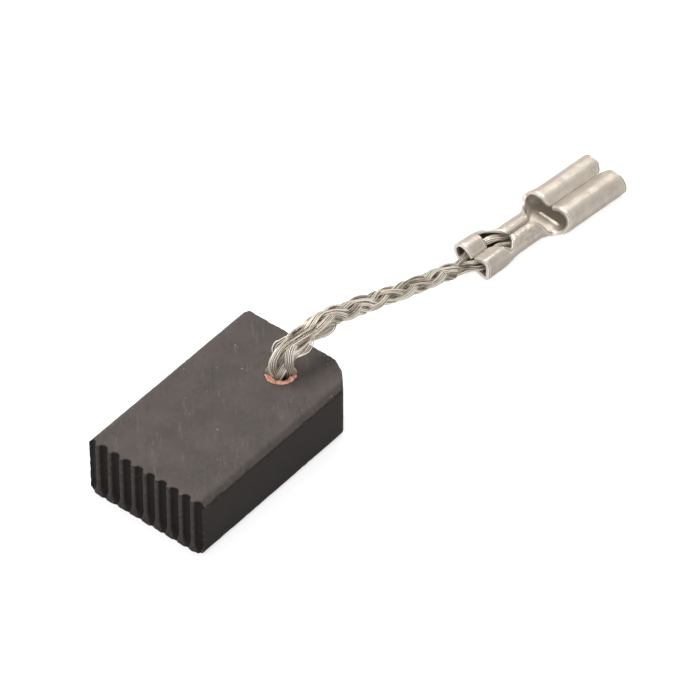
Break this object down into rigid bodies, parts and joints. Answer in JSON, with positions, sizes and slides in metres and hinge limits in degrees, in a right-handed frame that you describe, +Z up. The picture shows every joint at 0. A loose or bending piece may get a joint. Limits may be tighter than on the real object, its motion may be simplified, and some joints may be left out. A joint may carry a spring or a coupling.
{
  "type": "carbon brush",
  "caption": "Carbon motor brush: block with serrated contact face, chamfered long edges and one cut corner, braided copper pigtail and crimped push-on receptacle.",
  "frame": {"origin": "centre of the carbon block's bottom face, which slides in the brush holder", "axes": "+X from the serrated contact face to the spring end and on along the pigtail to the terminal, +Y across the serrations towards the uncut corner, +Z up through the face that the pigtail leaves"},
  "size_m": [0.062, 0.0141, 0.0109],
  "materials": {
    "carbon": "matt pressed carbon graphite with a fine grain",
    "copper_powder": "rough, granular tamped copper powder",
    "tinned_braid": "satin tinned copper wires",
    "tinned_brass": "satin tinned sheet"
  },
  "bodies": {
    "root": {"carbon_block": "carbon", "copper_tamping": "copper_powder", "pigtail": "tinned_braid", "terminal": "tinned_brass"}
  },
  "joints": []
}
